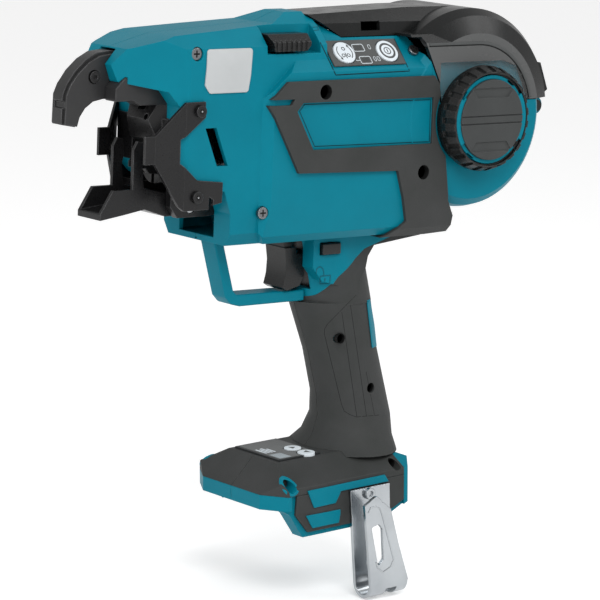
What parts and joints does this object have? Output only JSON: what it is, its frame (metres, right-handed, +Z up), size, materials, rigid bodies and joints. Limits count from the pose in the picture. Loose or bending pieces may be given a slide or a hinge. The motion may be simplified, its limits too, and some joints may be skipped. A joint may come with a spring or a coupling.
{
  "type": "rebar tying tool",
  "caption": "Pistol-grip cordless wire tying tool for crossing reinforcing bars, with hooked jaws, a reel bay under a smoked hinged cover, a stopper dial, a slide-pack foot and a belt hook",
  "frame": {"origin": "middle of the battery pack seat under the foot, on the tool's mid-plane", "axes": "+X to the rear, away from the jaws; +Y to the tool's right-hand side; +Z up; the foot is tilted 3 degrees nose down against the body"},
  "size_m": [0.2907, 0.0888, 0.2915],
  "materials": {
    "teal": "fine moulded texture, satin",
    "rubber_grey": "soft moulded rubber, matt",
    "black_plastic": "moulded, satin",
    "black_metal": "black oxide, half gloss",
    "steel": "ground",
    "plated_steel": "bright zinc plate",
    "smoked_plastic": "clear smoked, polished",
    "cap_grey": "moulded, satin",
    "panel_grey": "printed film, matt",
    "white_plastic": "moulded, matt",
    "label_white": "bare film",
    "lens": "clear",
    "winding": "varnished winding",
    "alloy": "die cast",
    "board": "lacquered"
  },
  "bodies": {
    "frame": {"housing_left": "teal", "housing_right": "teal", "reel_case": "teal", "handle_core": "teal", "foot_base": "teal", "trigger_guard": "teal", "bumper_left": "rubber_grey", "bumper_right": "rubber_grey", "grip_left": "rubber_grey", "grip_right": "rubber_grey", "grip_stripes": "teal", "foot_cover_left": "rubber_grey", "foot_cover_right": "rubber_grey", "foot_skins": "rubber_grey", "foot_plates": "teal", "display_panel": "panel_grey", "control_panel": "panel_grey", "side_label": "label_white", "cover_hinge_pin": "black_metal", "dial_base": "black_plastic", "curl_guide": "black_metal", "curl_plates": "black_metal", "jaw_screws": "black_metal", "guide_bracket": "black_metal", "nose_block": "black_metal", "contact_plates": "black_metal", "lower_guide_pin": "steel", "jaw_bracket": "black_metal", "shaft_bearings": "steel", "gear_case": "alloy", "motor_stator": "winding", "feed_plate": "steel", "feed_motor": "steel", "trigger_switch": "black_plastic", "lamp_lens": "lens", "controller_board": "board", "terminal_block": "black_plastic", "belt_hook": "plated_steel", "hook_screw": "plated_steel", "housing_screws": "black_metal"},
    "trigger": {"trigger": "black_plastic"},
    "lock": {"lock_button": "black_plastic"},
    "mode_key": {"mode_button": "white_plastic"},
    "power_key": {"power_button": "white_plastic"},
    "up_key": {"up_button": "white_plastic"},
    "down_key": {"down_button": "white_plastic"},
    "lever": {"release_lever": "black_plastic"},
    "cover": {"magazine_cover": "smoked_plastic"},
    "dial": {"reel_dial": "black_plastic"},
    "stopper": {"stopper_ring": "teal", "stopper_cap": "cap_grey", "reel_stopper": "steel"},
    "lower_jaw": {"lower_guide": "black_metal"},
    "cutter": {"cutter": "steel"},
    "rotor": {"motor_rotor": "steel"},
    "twister": {"twist_gear": "steel", "twister_shaft": "steel", "twister_head": "steel"},
    "feed_drive": {"feed_roller_drive": "steel"},
    "feed_idler": {"feed_roller_idler": "steel"}
  },
  "joints": [
    {"name": "trigger_pull", "type": "slide", "parent": "frame", "child": "trigger", "axis": [1, 0, 0], "range_m": [0, 0.006], "stiffness_N_per_m": 600},
    {"name": "lock_slide", "type": "slide", "parent": "frame", "child": "lock", "axis": [0, 1, 0], "range_m": [0, 0.003]},
    {"name": "mode_press", "type": "slide", "parent": "frame", "child": "mode_key", "axis": [0, 0.7392, -0.6735], "range_m": [0, 0.0008], "stiffness_N_per_m": 1500},
    {"name": "power_press", "type": "slide", "parent": "frame", "child": "power_key", "axis": [0, 0.7392, -0.6735], "range_m": [0, 0.0008], "stiffness_N_per_m": 1500},
    {"name": "up_press", "type": "slide", "parent": "frame", "child": "up_key", "axis": [0.0523, 0, -0.9986], "range_m": [0, 0.0008], "stiffness_N_per_m": 1500},
    {"name": "down_press", "type": "slide", "parent": "frame", "child": "down_key", "axis": [0.0523, 0, -0.9986], "range_m": [0, 0.0008], "stiffness_N_per_m": 1500},
    {"name": "release_slide", "type": "slide", "parent": "frame", "child": "lever", "axis": [1, 0, 0], "range_m": [0, 0.006], "stiffness_N_per_m": 400},
    {"name": "cover_open", "type": "hinge", "parent": "frame", "child": "cover", "pos_m": [0.1335, 0, 0.193], "axis": [0, 1, 0], "range_deg": [0, 75]},
    {"name": "dial_turn", "type": "hinge", "parent": "frame", "child": "dial", "pos_m": [0.082, -0.04, 0.1905], "axis": [0, 1, 0], "range_deg": [0, 90]},
    {"name": "stopper_pull", "type": "slide", "parent": "frame", "child": "stopper", "axis": [0, -1, 0], "range_m": [0, 0.012], "stiffness_N_per_m": 300},
    {"name": "lower_jaw_open", "type": "hinge", "parent": "frame", "child": "lower_jaw", "pos_m": [-0.08, 0, 0.151], "axis": [0, -1, 0], "range_deg": [0, 20], "stiffness_Nm_per_rad": 1.5},
    {"name": "cutter_swing", "type": "hinge", "parent": "frame", "child": "cutter", "pos_m": [-0.1085, 0, 0.2114], "axis": [0, 1, 0], "range_deg": [0, 8], "stiffness_Nm_per_rad": 0.1},
    {"name": "motor_spin", "type": "hinge", "parent": "frame", "child": "rotor", "pos_m": [0, 0, 0.192], "axis": [1, 0, 0], "continuous": true},
    {"name": "twist_spin", "type": "hinge", "parent": "frame", "child": "twister", "pos_m": [0, 0, 0.172], "axis": [1, 0, 0], "continuous": true},
    {"name": "feed_spin", "type": "hinge", "parent": "frame", "child": "feed_drive", "pos_m": [-0.062, 0, 0.2131], "axis": [0, 1, 0], "continuous": true},
    {"name": "idler_spin", "type": "hinge", "parent": "frame", "child": "feed_idler", "pos_m": [-0.062, 0, 0.2259], "axis": [0, 1, 0], "continuous": true}
  ],
  "couplings": [
    {"joint": "twist_spin", "follows": "motor_spin", "ratio": -0.33333},
    {"joint": "idler_spin", "follows": "feed_spin", "ratio": -1}
  ]
}
